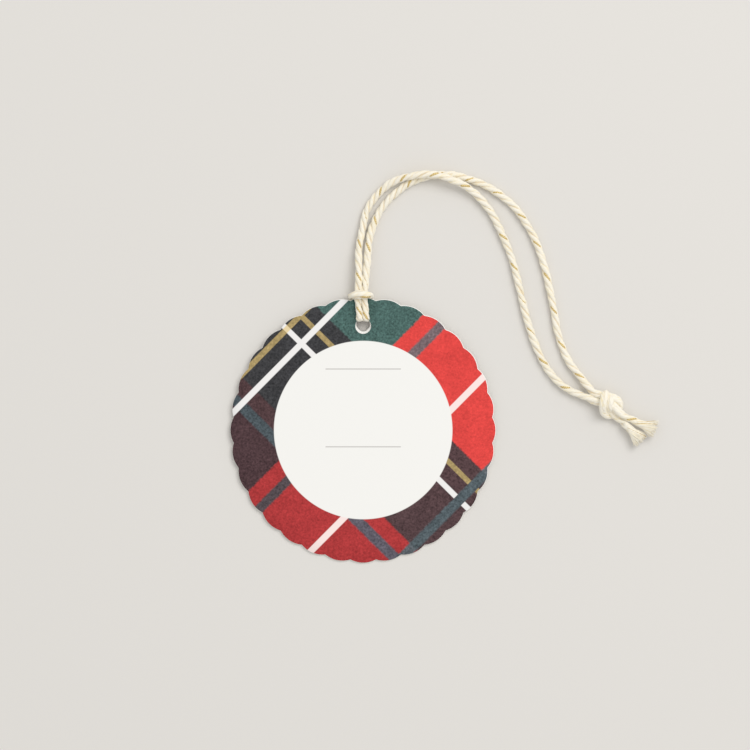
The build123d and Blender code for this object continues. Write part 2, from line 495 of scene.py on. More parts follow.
def crossed_stripes(across, up, weave):
    """The colour of the stripes at two coordinates, with edges that the weave makes ragged."""
    ragged = (weave - 0.5) * STRIPE_RAGGED
    place = across + ragged
    rows = [piecewise(place, COLUMN_EDGES, [linear(*colour) for colour in row]) for row in ROW_COLOURS]
    return piecewise(up - ragged, ROW_EDGES, rows)


print("tartan of", len(COLUMN_EDGES) + 1, "columns and", len(ROW_COLOURS), "rows")

# %% Ink of the tartan
WEAVE_NOISE = (1500.0, 2.0)
MOTTLE_NOISE = (2300.0, 2.0, 0.6)
BROAD_NOISE = (320.0, 3.0)
INK_DEEP = 2.3
INK_FADE = 2.4
INK_LEAST = 0.8
MOTTLE_SHARE = 0.75
WEAVE_SHARE = 0.55
BROAD_SHARE = 0.4


def mottled(colour, place, weave):
    """A colour times a tone about 1: noise in three sizes, the finer two stronger on inks with little
    red."""
    red = colour.node("ShaderNodeSeparateColor", {0: colour})
    depth = colour.math("MAXIMUM", INK_DEEP - INK_FADE * red, INK_LEAST)
    mottle = (place.noise(*MOTTLE_NOISE) - 0.5) * depth * MOTTLE_SHARE
    woven = (weave - 0.5) * depth * WEAVE_SHARE
    broad = (place.noise(*BROAD_NOISE) - 0.5) * BROAD_SHARE
    tone = mottle + woven + broad + 1.0
    return colour.node("ShaderNodeVectorMath", {0: colour, "Scale": tone}, operation="SCALE")


print("mottling in three sizes:", MOTTLE_SHARE, WEAVE_SHARE, BROAD_SHARE)

# %% [markdown]
# ## The panel and the bare paper
# The middle of the card is left as a plain white round with two fine rules to write on. They are print too,
# so they are made in the same material as the tartan and not as thin pieces on top of it. The cut edge and
# the back are the uncoated paper itself, so those faces get a second material with a faint fibre grain.

# %% The panel and its rules
LINE_SOFT = 0.16
PANEL_WHITE = linear(244, 243, 239)
RULE_GREY = linear(176, 172, 168)
RULE_STRENGTH = 0.8
RULE_HEIGHTS = (14.6, -4.0)
RULE_HALF = 9.0
RULE_THICK = 0.22


def panel_colour(x, y):
    """Plain white with two rules: a rule is 1 within its thickness along y and its length along x."""
    half = RULE_THICK / 2
    rule = sum(y.within(height - half, height + half, half) for height in RULE_HEIGHTS)
    rule = rule * x.within(-RULE_HALF, RULE_HALF, LINE_SOFT)
    return (rule * RULE_STRENGTH).mix(PANEL_WHITE, RULE_GREY)


print("rules", 2 * RULE_HALF, "millimetres long at heights", RULE_HEIGHTS)

# %% Tartan print
PANEL_RADIUS = 21.33
UP_WHITE = (3.66, 4.98)
UP_GOLD = (8.34, 9.60)
ACROSS_GOLD = (29.24, 30.60)
ACROSS_WHITE_HIGH = (24.30, 25.74)
ACROSS_WHITE_LOW = (-12.28, -10.72)
LINE_WHITE = linear(240, 238, 236)
LINE_PINK = linear(250, 230, 226)
LINE_GOLD = linear(170, 149, 102)
LINE_GOLD_ON_WHITE = linear(232, 212, 168)
PRINT_GRAIN = (5200.0, 3.0)
PRINT_BUMP = (0.12, 0.04)
PRINT_ROUGHNESS = 0.6
PRINT_ROUGHNESS_SWING = 0.16
PRINT_SHINE = 0.06


def tartan_print(name):
    """Stripes and thin lines by two turned coordinates, with woven mottling, under a plain round panel."""
    material, wire, shader = new_material(name)
    place = wire.node("ShaderNodeTexCoord", outlet="Object")
    parts = wire.node("ShaderNodeSeparateXYZ", {0: place})
    x = parts.output("X") / MM
    y = parts.output("Y") / MM
    across = x * np.cos(TARTAN_TURN) + y * np.sin(TARTAN_TURN)
    up = y * np.cos(TARTAN_TURN) - x * np.sin(TARTAN_TURN)
    weave = place.noise(*WEAVE_NOISE)

    off_teal = 1 - up.within(*ROW_EDGES[:2], LINE_SOFT)
    on_gold = up.within(*ACROSS_GOLD, LINE_SOFT)
    colour = crossed_stripes(across, up, weave)
    colour = (across.within(*UP_GOLD, LINE_SOFT) * off_teal).mix(colour, LINE_GOLD)
    colour = on_gold.mix(colour, LINE_GOLD)
    colour = mottled(colour, place, weave)
    white = on_gold.mix(LINE_WHITE, LINE_GOLD_ON_WHITE)
    colour = (across.within(*UP_WHITE, LINE_SOFT) * off_teal).mix(colour, white)
    colour = up.within(*ACROSS_WHITE_HIGH, LINE_SOFT).mix(colour, LINE_WHITE)
    colour = up.within(*ACROSS_WHITE_LOW, LINE_SOFT).mix(colour, LINE_PINK)

    radius = wire.math("SQRT", x * x + y * y)
    panel = 1 - radius.step(PANEL_RADIUS, LINE_SOFT)
    colour = panel.mix(colour, panel_colour(x, y))

    grain = place.noise(*PRINT_GRAIN)
    roughness = PRINT_ROUGHNESS + PRINT_ROUGHNESS_SWING * grain
    normal = grain.bump(*PRINT_BUMP)
    feed(shader, Base_Color=colour, Roughness=roughness, Specular_IOR_Level=PRINT_SHINE, Normal=normal)
    return material


tartan_material = tartan_print("tartan_print")
print("tartan print has", len(tartan_material.node_tree.nodes), "nodes")

# %% Bare paper
PAPER_CLOUD = (900.0, 4.0)
PAPER_GRAIN = (6000.0, 2.0)
PAPER_BUMP = (0.2, 0.05)
PAPER_DULL = linear(240, 238, 233)
PAPER_BRIGHT = linear(250, 249, 246)
PAPER_ROUGHNESS = 0.85
PAPER_ROUGHNESS_SWING = 0.1
PAPER_SHINE = 0.2


def white_core(name):
    """Uncoated white paper: the cut edge and the back of the sheet, with a faint fibre grain."""
    material, wire, shader = new_material(name)
    place = wire.node("ShaderNodeTexCoord", outlet="Object")
    cloud = place.noise(*PAPER_CLOUD)
    colour = cloud.mix(PAPER_DULL, PAPER_BRIGHT)
    roughness = PAPER_ROUGHNESS + PAPER_ROUGHNESS_SWING * cloud
    normal = place.noise(*PAPER_GRAIN).bump(*PAPER_BUMP)
    feed(shader, Base_Color=colour, Roughness=roughness, Specular_IOR_Level=PAPER_SHINE, Normal=normal)
    return material


paper_material = white_core("white_paper_core")
print("bare paper has", len(paper_material.node_tree.nodes), "nodes")

# %% The card in the frame
card_pile = Pile()
card_pile.add(sheet, sheet_finish, loop=True)
card = card_pile.make("printed_card", [tartan_material, paper_material])
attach(card, "card")
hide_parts("tag_card")

# %% [markdown]
# ## The route of the twine
# The twine is one length. From its upper cut end it runs through the knot and along the left leg to the
# hitch, over the rim, through the hole and back, and then along the right leg and through the knot to its
# lower cut end. Separate cords would be easier, but the lay of the yarns would jump where they meet. So its
# line is one smooth curve that follows listed points: the route of the solid model, moved a little
# where the photograph shows the strands.

# %% The hitch
TWINE_DIAMETER = 1.8
HITCH_HALF = [
    (0.4, 32.6, 3.05), (1.4, 32.5, 2.9), (2.1, 32.3, 2.4), (2.42, 32.1, 1.6), (2.48, 32.05, 0.7),
    (2.45, 31.95, -0.1), (2.3, 31.6, -0.75), (2.1, 30.6, -0.9), (1.7, 29.1, -0.85), (1.2, 27.4, -0.85),
    (0.9, 26.1, -0.85), (0.8, 25.45, -0.45), (0.78, 25.3, 0.3), (0.77, 25.5, 1.1), (0.76, 26.6, 1.42),
    (0.77, 28.4, 1.4), (0.8, 30.2, 1.4), (0.78, 31.9, 1.42), (0.76, 33.5, 1.45),
]
HITCH_LEAN = [
    (25.0, 0.05), (26.5, 0.0), (29.0, -0.2), (31.0, -0.4), (32.0, -0.66), (33.5, -0.4), (36.0, -0.25),
]


def hitch_points(side):
    """Half of the hitch, from the middle of the bight to the neck: mirrored for the left, and then moved
    aside by an amount that follows y, as the pull of the loop leans it."""
    places = np.array(HITCH_HALF) * np.array([side, 1.0, 1.0])
    lean = np.array(HITCH_LEAN)
    places[:, 0] += np.interp(places[:, 1], lean[:, 0], lean[:, 1])
    return on_card(places)


print("hitch of", 2 * len(HITCH_HALF), "points")

# %% Necks and legs
TABLE_GAP = 0.02
LYING = TWINE_DIAMETER / 2 + TABLE_GAP
NECK_LEFT = [(-1.02, 35.2, 3.1), (-1.04, 37.0, 2.95), (-1.05, 38.9, 2.7), (-1.05, 41.0, 2.3)]
NECK_RIGHT = [(0.52, 35.2, 3.1), (0.68, 37.0, 2.95), (0.82, 38.9, 2.7), (0.98, 41.0, 2.3)]
LEG_LEFT = [
    (-1.0, 3.8, 0.75), (-0.3, 7.9, 0.15), (0.6, 11.9, 0.0), (2.5, 15.3, 0.0), (5.3, 18.2, 0.25),
    (9.0, 20.2, 1.15), (13.2, 21.0, 2.05), (17.8, 20.9, 2.15), (22.3, 19.5, 1.85), (26.3, 17.0, 0.75),
    (29.6, 13.5, 0.1), (32.3, 9.2, 0.0), (34.4, 4.2, 0.0), (36.2, -1.4, 0.0), (37.7, -7.4, 0.0),
    (39.1, -13.5, 0.0), (40.8, -18.9, 0.0), (43.1, -24.2, 0.0), (46.3, -28.5, 0.05), (50.2, -31.0, 0.3),
]
LEG_RIGHT = [
    (1.2, 3.8, 0.75), (2.0, 8.0, 0.15), (3.5, 11.6, 0.0), (5.9, 14.9, 0.0), (8.8, 17.6, 0.0),
    (12.2, 19.7, 0.0), (16.1, 20.8, 0.0), (20.2, 21.0, 0.0), (24.5, 20.3, 0.0), (29.0, 18.8, 0.0),
    (33.3, 16.0, 0.0), (36.9, 12.4, 0.0), (39.7, 8.4, 0.0), (41.8, 4.0, 0.0), (43.5, -1.2, 0.0),
    (44.8, -7.2, 0.0), (45.8, -13.2, 0.0), (46.9, -18.4, 0.0), (49.0, -23.6, 0.05), (52.1, -27.7, 0.3),
]


def leg_frame(places):
    """Points beside the fold pivot, with a lift above lying on the table, in the frame of the part."""
    return np.asarray(places, float) + np.array([*fold_pivot[:2], LYING])


print("legs end at", *[leg_frame(leg)[-1].round(1) for leg in (LEG_LEFT, LEG_RIGHT)])

# %% [markdown]
# ## Frames along a line
# A yarn winds round the middle of the twine, so it needs two directions across the line at every point.
# One fixed direction would flip where the line turns steeply through the hole. So the two directions are
# carried along the line without twist, and the lay of the yarns is the only twist there is.

# %% A frame carried along a line
FIXED_WAY = np.array([0.23, 0.31, 0.92])


def carried_frame(line):
    """Tangent, side and up at each point, carried along the line without twist. A frame is first made with
    one fixed direction, then turned back by the sum of its own twist from point to point."""
    tangent = unit(np.gradient(line, axis=0))
    side = unit(np.cross(tangent, FIXED_WAY))
    before, after = tangent[:-1], tangent[1:]
    turn = np.cross(before, after)
    cosine = np.sum(before * after, axis=1, keepdims=True)
    carried = side[:-1] * cosine + np.cross(turn, side[:-1])
    carried += turn * np.sum(turn * side[:-1], axis=1, keepdims=True) / (1 + cosine)
    off_side = np.sum(np.cross(carried, side[1:]) * after, axis=1)
    twist = np.arctan2(off_side, np.sum(carried * side[1:], axis=1))
    back = np.concatenate([[0], np.cumsum(twist)])[:, None]
    up = np.cross(tangent, side)
    return tangent, side * np.cos(back) - up * np.sin(back), side * np.sin(back) + up * np.cos(back)


print("left leg sets off along", carried_frame(leg_frame(LEG_LEFT))[0][0].round(2))

# %% [markdown]
# ## The end knot
# Both ends of the twine are tied in one overhand knot, so two strands run side by side through its turns.
# Each strand could have its own list of points, but they would drift apart. So there is one list for the
# bundle, and each strand is that route moved to its own side.

# %% The knot and the tails
UP = np.array([0.0, 0.0, 1.0])
KNOT_PLACE = np.array([58.85, -34.0])
KNOT_TURN = np.radians(-33.0)
KNOT_ROUTE = [
    (-5.3, -0.5, 1.9), (-4.0, -0.45, 1.9), (-2.7, 0.0, 2.1), (-1.4, 0.5, 2.3), (-0.1, 1.0, 2.5),
    (1.1, 1.2, 2.0), (2.0, 0.6, 1.2), (2.0, -0.6, 0.95), (1.4, -1.5, 1.1), (0.3, -1.7, 2.0),
    (-0.35, -1.1, 3.0), (-0.8, -0.3, 3.5), (-1.15, 0.6, 3.6), (-1.45, 1.35, 3.0), (-1.4, 1.6, 2.0),
    (-0.9, 1.1, 0.95), (-0.1, 0.3, 0.95), (0.6, -0.3, 1.7), (1.6, -0.6, 2.4), (2.8, -0.9, 2.2),
    (3.9, -1.0, 1.9), (4.9, -1.0, 1.9),
]
TAIL_UPPER = [(6.2, -0.05, 1.95), (8.0, 0.1, 2.0), (9.8, 0.45, 2.0)]
TAIL_LOWER = [(6.1, -2.05, 1.95), (7.4, -2.25, 2.0), (8.6, -2.55, 2.0)]
STRAND_GAP = 0.88

knot_along = np.array([np.cos(KNOT_TURN), np.sin(KNOT_TURN), 0.0])
knot_across = np.array([-np.sin(KNOT_TURN), np.cos(KNOT_TURN), 0.0])
knot_middle = np.array([*(fold_pivot[:2] + KNOT_PLACE), 0.0])


def knot_frame(places):
    """Points along, across and above the knot, moved into the frame of the part."""
    along, across, above = np.asarray(places, float).T[:, :, None]
    return knot_middle + along * knot_along + across * knot_across + above * UP


def knot_points(side):
    """One strand of the knot: the route of the bundle, moved to one side of it and kept above the table."""
    middle = knot_frame(KNOT_ROUTE)
    across, up = carried_frame(middle)[1:]
    roll = np.arctan2(knot_across @ up[0], knot_across @ across[0])
    offset = across * np.cos(roll) + up * np.sin(roll)
    strand = middle + side * STRAND_GAP * offset
    strand[:, 2] = np.maximum(strand[:, 2], LYING)
    return strand


print("knot stands", knot_points(1)[:, 2].max().round(2), "millimetres above the table, to its middle line")


# %% Points from end to end
def half_route(side, neck, leg, tail):
    """Points from the middle of the bight to one cut end."""
    return np.concatenate([hitch_points(side), neck, leg_frame(leg), knot_points(side), knot_frame(tail)])


left_half = half_route(-1, NECK_LEFT, LEG_LEFT, TAIL_UPPER)
right_half = half_route(1, NECK_RIGHT, LEG_RIGHT, TAIL_LOWER)
route = np.concatenate([left_half[::-1], right_half])
print("points of the route", len(route))

# %% [markdown]
# ## One line from end to end
# Twine bends evenly and has no corners. A line from point to point would have one at each, and a spline
# could be worked out here, but Blender has a good one. So the points become the control points of a NURBS
# curve, which runs smoothly beside them. Its line is read back and divided into even steps, because the lay
# of the yarns is measured along it.

# %% A smooth line
CURVE_ORDER = 3
CURVE_STEPS = 24


def smooth_line(points):
    """The points along a NURBS curve that has the given points as its control points."""
    curve = bpy.data.curves.new("route", "CURVE")
    curve.dimensions = "3D"
    spline = curve.splines.new("NURBS")
    spline.points.add(len(points) - 1)
    spline.points.foreach_set("co", np.column_stack([points, np.ones(len(points))]).ravel())
    spline.order_u = CURVE_ORDER
    spline.use_endpoint_u = True
    spline.resolution_u = CURVE_STEPS
    holder = bpy.data.objects.new("route", curve)
    mesh = bpy.data.meshes.new_from_object(holder)
    line = np.zeros(len(mesh.vertices) * 3)
    mesh.vertices.foreach_get("co", line)
    bpy.data.objects.remove(holder)
    bpy.data.meshes.remove(mesh)
    bpy.data.curves.remove(curve)
    return line.reshape(-1, 3)


smooth_route = smooth_line(route)
print("points on the smooth line", len(smooth_route))

# %% Even steps
STEP = 0.2


def distance_along(line):
    """How far along a line each of its points is: the sum of the steps before it."""
    return np.concatenate([[0], np.cumsum(np.linalg.norm(np.diff(line, axis=0), axis=1))])


def even_line(line, step):
    """The same line with points about a step apart, each found by its distance along the line."""
    far = distance_along(line)
    at = np.linspace(0, far[-1], int(far[-1] / step) + 1)
    return np.stack([np.interp(at, far, line[:, axis]) for axis in range(3)], axis=1)


twine_line = even_line(smooth_route, STEP)
twine_far = distance_along(twine_line)
tangent, side_way, up_way = carried_frame(twine_line)
bight_middle = (left_half[0] + right_half[0]) / 2
bight = int(np.argmin(np.linalg.norm(twine_line - bight_middle, axis=1)))
from_bight = twine_far - twine_far[bight]
print("twine from end to end, millimetres", twine_far[-1].round(1), "points", len(twine_line))

# %% [markdown]
# ## Three plies
# Cotton twine is three soft yarns laid round each other. A round tube with a bump map would show a straight
# outline, so each yarn is a tube of its own, and its middle winds round the twine's line. The twine is thin
# where the hitch squeezes it and easy in the knot, and the lay is loosened or tightened along the way, as
# hands do when they tie it, so that the grooves lie where the photograph shows them. Everything is worked
# out for the whole length at once.

# %% Girth
GIRTH = [
    (0.0, 1.22), (1.4, 1.12), (2.6, 0.86), (3.6, 0.72), (5.0, 0.75), (9.0, 0.8), (12.0, 0.88), (16.0, 0.94),
    (24.0, 1.0),
]
KNOT_GIRTH = 1.08
KNOT_HEART = (0.0, 0.0, 2.0)
KNOT_REACH = 5.2
KNOT_SOFT = 1.6
END_TAPER = 2.6
END_LEAST = 0.01
GIRTH_WAVES = ([7.3, 12.1, 29.0], 0.06)
RANDOM_START = 11
random = np.random.default_rng(RANDOM_START)


def ripple(waves, size):
    """A gentle unevenness along the twine: a few sine waves of given lengths with random starts."""
    starts = random.uniform(0, 2 * np.pi, len(waves))
    sines = [np.sin(2 * np.pi * twine_far / wave + at) for wave, at in zip(waves, starts)]
    return size * np.mean(sines, axis=0)


# 1 where the line is inside the knot and 0 along the legs and the tails, with a soft change
to_knot = np.linalg.norm(twine_line - knot_frame([KNOT_HEART])[0], axis=1)
in_knot = np.clip((KNOT_REACH - to_knot) / KNOT_SOFT, 0, 1)

to_end = np.minimum(twine_far, twine_far[-1] - twine_far)
girth = np.interp(np.abs(from_bight), *np.array(GIRTH).T) * (1 - (1 - KNOT_GIRTH) * in_knot)
girth = girth * (1 + ripple(*GIRTH_WAVES))
girth = girth * np.clip(to_end / END_TAPER, END_LEAST, 1) ** 0.5
print("girth from", girth.min().round(2), "to", girth.max().round(2))

# %% Lay
PLY_COUNT = 3
LAY = 8.2
LAY_SHIFT = [
    (-119.0, 7.6), (-60.0, 5.2), (-33.0, 0.1), (-25.0, 0.1), (-16.0, -0.4), (-4.0, 0.0), (4.0, 0.0),
    (15.0, 1.5), (32.0, 1.5), (51.0, -4.0), (73.0, -6.4), (98.0, -7.3), (123.0, -6.3),
]
BIGHT_EASY = 3.2
BIGHT_SLACK = 0.92
KNOT_SLACK = 0.8
LAY_WAVES = ([31.0, 47.0, 19.0], 0.35)
SIDE_WAVES = ([9.7, 14.3, 23.0], 0.14)
UP_WAVES = ([8.9, 16.1, 21.0], 0.1)


def gold_faces(way):
    """The angle of lay at the bight that turns the gold thread's groove towards a direction there."""
    return np.arctan2(way @ up_way[bight], way @ side_way[bight]) - np.pi / PLY_COUNT


lay_rate = 1 - BIGHT_SLACK * np.exp(-((from_bight / BIGHT_EASY) ** 2)) - KNOT_SLACK * in_knot
laid = np.cumsum(lay_rate * np.gradient(twine_far))
laid -= laid[bight] + np.interp(from_bight, *np.array(LAY_SHIFT).T)
wind_angle = gold_faces(card_up - card_north) - 2 * np.pi * laid / LAY + ripple(*LAY_WAVES)
wobble = ripple(*SIDE_WAVES)[:, None] * side_way + ripple(*UP_WAVES)[:, None] * up_way
print("turns of lay", round(np.ptp(laid) / LAY, 1))

# %% A yarn that winds
YARN_COUNT = 5
YARN_DEPTH = 0.07
YARN_START = 40.0
FIBRE_TURN = 0.9
STREAK_START = 100.0


def wound_tube(turn, stray, wind, radius, sides, stretch):
    """Rings of a yarn that winds round the twine's line: the ring's middle is wind away from the line, at
    the angle of lay plus a turn and a little stray, and the ring is an ellipse that is wider along the lay.
    With them come coordinates for streaks and for the painted shade in the grooves: the direction round the
    yarn times its depth, and the distance along it."""
    angle = (wind_angle + turn + stray)[:, None]
    radial = side_way * np.cos(angle) + up_way * np.sin(angle)
    sideways = up_way * np.cos(angle) - side_way * np.sin(angle)
    around = np.linspace(0, 2 * np.pi, sides, endpoint=False)
    streak = around + FIBRE_TURN * twine_far[:, None]
    ridged = (radius * girth)[:, None] * (1 + YARN_DEPTH * np.cos(YARN_COUNT * streak + YARN_START * turn))
    outward = (wind * girth)[:, None] + ridged * np.cos(around)
    aside = stretch * ridged * np.sin(around)
    middle = twine_line + wobble
    grid = middle[:, None] + outward[..., None] * radial[:, None] + aside[..., None] * sideways[:, None]
    depth = np.hypot(outward, aside) / (girth[:, None] * TWINE_DIAMETER / 2)
    along = np.broadcast_to(twine_far[:, None] + STREAK_START * turn, depth.shape)
    return grid, np.stack([depth * np.cos(streak), depth * np.sin(streak), along], axis=-1)


print("each ply has", YARN_COUNT, "ridges")

# %% Plies
PLY_SIDES = 20
PLY_WIND = 0.39
PLY_RADIUS = 0.51
PLY_STRETCH = 1.07
KNOT_WIND = 0.25
KNOT_SWELL = 0.12
SWELL_WAVES = ([5.1, 8.7, 13.0], 0.1)
WIND_WAVES = ([17.0, 11.0], 0.06)
STRAY_WAVES = ([13.0, 21.0, 6.9], 0.3)

plies = []
for ply in range(PLY_COUNT):
    swell = 1 + ripple(*SWELL_WAVES)
    wind = PLY_WIND * (1 + ripple(*WIND_WAVES)) * (1 - KNOT_WIND * in_knot)
    stray = ripple(*STRAY_WAVES)
    radius = PLY_RADIUS * swell * (1 + KNOT_SWELL * in_knot)
    plies.append(wound_tube(2 * np.pi * ply / PLY_COUNT, stray, wind, radius, PLY_SIDES, PLY_STRETCH))
print("plies", len(plies), "rings and sides of each", plies[0][0].shape[:2])

# %% [markdown]
# ## The gold thread
# A gold thread lies in one of the grooves between the plies and comes up to the skin once in a turn. It
# could be a stripe in the cotton's colour, but it glints because it stands out of the groove. So it is a
# fourth, thinner tube, whose distance from the line rises where the photograph shows gold.

# %% Gold thread
GOLD_WIND = 0.3
GOLD_RISE = 0.42
GOLD_RADIUS = 0.2
GOLD_STRETCH = 1.5
GOLD_SIDES = 8
GOLD_FACING = 0.5
GOLD_FACING_SOFT = 0.3
GOLD_MEAN = 0.85
GOLD_LEAST = 0.4
GOLD_WAVES = ([11.0, 17.0, 29.0], 0.7)
BAR_PLACE = 1.3
BAR_WIDE = 1.5
BAR_RISE = 1.15


def gold_rise():
    """How far the gold thread stands out of its groove, from 0 to about 1: it comes up once in a turn of
    the lay, on the side that faces up as the twine lies, and more on some turns than on others. It also
    comes up on half of the bight, by a bell curve."""
    angle = wind_angle + np.pi / PLY_COUNT
    facing = side_way[:, 2] * np.cos(angle) + up_way[:, 2] * np.sin(angle)
    uneven = np.clip(GOLD_MEAN + ripple(*GOLD_WAVES), GOLD_LEAST, 1)
    on_top = np.clip((facing - GOLD_FACING) / GOLD_FACING_SOFT, 0, 1) * uneven
    on_bar = BAR_RISE * np.exp(-(((from_bight - BAR_PLACE) / BAR_WIDE) ** 2))
    return np.maximum(on_top, on_bar) * (1 - in_knot)


gold_wind = GOLD_WIND + GOLD_RISE * gold_rise()
gold_thread = wound_tube(np.pi / PLY_COUNT, 0.0, gold_wind, GOLD_RADIUS, GOLD_SIDES, GOLD_STRETCH)
print("gold thread is up to", gold_wind.max().round(2), "millimetres from the line")

# %% [markdown]
# ## Loose fibres
# Short hairs stand off the skin of cotton twine and soften its outline. Blender's own hair isn't a mesh and
# would be lost in an export, so each hair is a thin tapered tube with three sides that bends away from the
# skin.

# %% Hairs on the skin
FIBRES_PER_MM = 3.5
FIBRE_MARGIN = 2
FIBRE_SPLAY = 0.45
FIBRE_LENGTH = (0.5, 1.5)
FIBRE_RISE = (0.1, 0.5)
FIBRE_THICK = (0.012, 0.022)
FIBRE_TAPER = 1.1
FIBRE_ROOT = 0.42
FIBRE_FLOOR = 0.06
FIBRE_ROWS = 5
FIBRE_SIDES = 3
SKIN_PLACE = np.array([1.0, 0.0, 0.0])


def loose_fibres(low, high):
    """Short hairs that leave the twine's skin between two points of its line: each starts at a random place
    on it, and bends from along the twine to away from it as a parabola, getting thinner."""
    count = int((twine_far[high - 1] - twine_far[low]) * FIBRES_PER_MM)
    at = random.integers(low + FIBRE_MARGIN, high - FIBRE_MARGIN, count)
    angle = random.uniform(0, 2 * np.pi, (count, 1))
    radial = side_way[at] * np.cos(angle) + up_way[at] * np.sin(angle)
    sideways = up_way[at] * np.cos(angle) - side_way[at] * np.sin(angle)
    ahead = tangent[at] * random.choice([-1.0, 1.0], (count, 1))
    ahead = ahead + sideways * random.normal(0, FIBRE_SPLAY, (count, 1))
    length = random.uniform(*FIBRE_LENGTH, (count, 1))
    rise = random.uniform(*FIBRE_RISE, (count, 1))
    share = np.linspace(0, 1, FIBRE_ROWS)[None, :, None]
    root = twine_line[at] + radial * (girth[at, None] * TWINE_DIAMETER * FIBRE_ROOT)
    middle = root[:, None] + (ahead * length)[:, None] * share + (radial * rise)[:, None] * share**2
    middle[..., 2] = np.maximum(middle[..., 2], FIBRE_FLOOR)
    thick = (random.uniform(*FIBRE_THICK, (count, 1))[:, None] * (FIBRE_TAPER - share))[..., None]
    around = np.linspace(0, 2 * np.pi, FIBRE_SIDES, endpoint=False)[None, None, :, None]
    ring = np.cos(around) * sideways[:, None, None] + np.sin(around) * radial[:, None, None]
    grid = middle[:, :, None] + thick * ring
    inside_out = np.sum(np.cross(sideways, radial) * ahead, axis=1) < 0
    grid[inside_out] = grid[inside_out][:, :, ::-1]
    return grid, np.broadcast_to(SKIN_PLACE, grid.shape)


print("about", int(FIBRES_PER_MM * twine_far[-1]), "hairs on the whole length")

# %% [markdown]
# ## A stretch of twine
# A moving piece of the twine is one stretch of the whole length. If each cut mesh worked out its own smooth
# shading, a line would show where two of them meet. So every stretch takes its normals from the whole tube.

# %% Stretches
COTTON, GOLD = 0, 1
HOLE_PRESS = 0.36


def skin_normals(grid):
    """The way out of a tube at each point: the way round the ring crossed with the way along the tube."""
    round_ring = np.roll(grid, -1, axis=1) - np.roll(grid, 1, axis=1)
    return unit(np.cross(round_ring, np.gradient(grid, axis=0)))


def press_to_hole(places):
    """In the hole the strands are pulled flat against its upper edge: below that edge, on the card's own
    plane, the distance from it is made smaller by one factor."""
    local = (places - card_back_middle) @ card_axes.T
    edge = HOLE_UP + HOLE_RADIUS
    north = local[..., 1]
    local[..., 1] = np.where(north < edge, edge - (edge - north) * HOLE_PRESS, north)
    return on_card(local)


def lay_twine(pile, low, high, shape=lambda places: places):
    """Adds one stretch of the twine to a pile, with its points moved by a shape."""
    for (grid, place), finish in zip([*plies, gold_thread], [COTTON] * PLY_COUNT + [GOLD]):
        moved = shape(grid)
        pile.add(moved[low:high], finish, place[low:high], normal=skin_normals(moved)[low:high])
    grid, place = loose_fibres(low, high)
    pile.add(shape(grid), COTTON, place)


print("normals of one ply", skin_normals(plies[0][0]).shape)

# %% [markdown]
# ## Frayed ends
# The two ends were cut with scissors and have come apart, so each ends in a brush. A cone with a rough bump
# would read as solid, so the brush is made of many fibre bundles. Each is a thin tapered tube that starts
# inside the twine and bends outwards. A fluted core under them keeps the table from showing through.

# %% Reach of a brush
BRUSH_WIDE = [(0.0, 0.45), (0.25, 0.74), (0.57, 0.95)]
BRUSH_HIGH = [(0.0, 0.45), (0.25, 0.74), (0.57, 0.8), (1.0, 0.35)]
BRUSH_BACK = 3.4
BRUSH_ROWS = 13


def end_frame(end):
    """The last point of the twine at one end, the way on from it, and the ways aside and up."""
    ahead = -tangent[end] if end == 0 else tangent[end]
    flat = unit(np.cross(ahead, UP))
    return twine_line[end], ahead, flat, np.cross(flat, ahead)


def brush_reach(share, spread):
    """How wide and how high the brush is at a share of its length: round at first, then wide and flat."""
    wide = np.array([*BRUSH_WIDE, (1.0, spread)])
    return np.interp(share, *wide.T), np.interp(share, *np.array(BRUSH_HIGH).T)


print("the twine ends at", end_frame(0)[0].round(1), end_frame(-1)[0].round(1))

# %% Bundles of a brush
BRUSH_BUNDLES = 170
BRUSH_GOLD = 4
BRUSH_GOLD_SIDE = -0.7
BRUSH_SIDES = 5
BRUSH_TWIST = 2.3
BRUSH_SHELL = 0.6
BRUSH_LENGTHS = (0.66, 1.08)
BRUSH_STRAY = 0.24
BRUSH_STRAY_HIGH = 0.4
BRUSH_THICK = (0.09, 0.17)
BRUSH_TAPER = 0.7
BRUSH_DEPTH = 1.05
BRUSH_DEPTH_SWING = 0.1
BRUSH_STREAK_START = 50.0


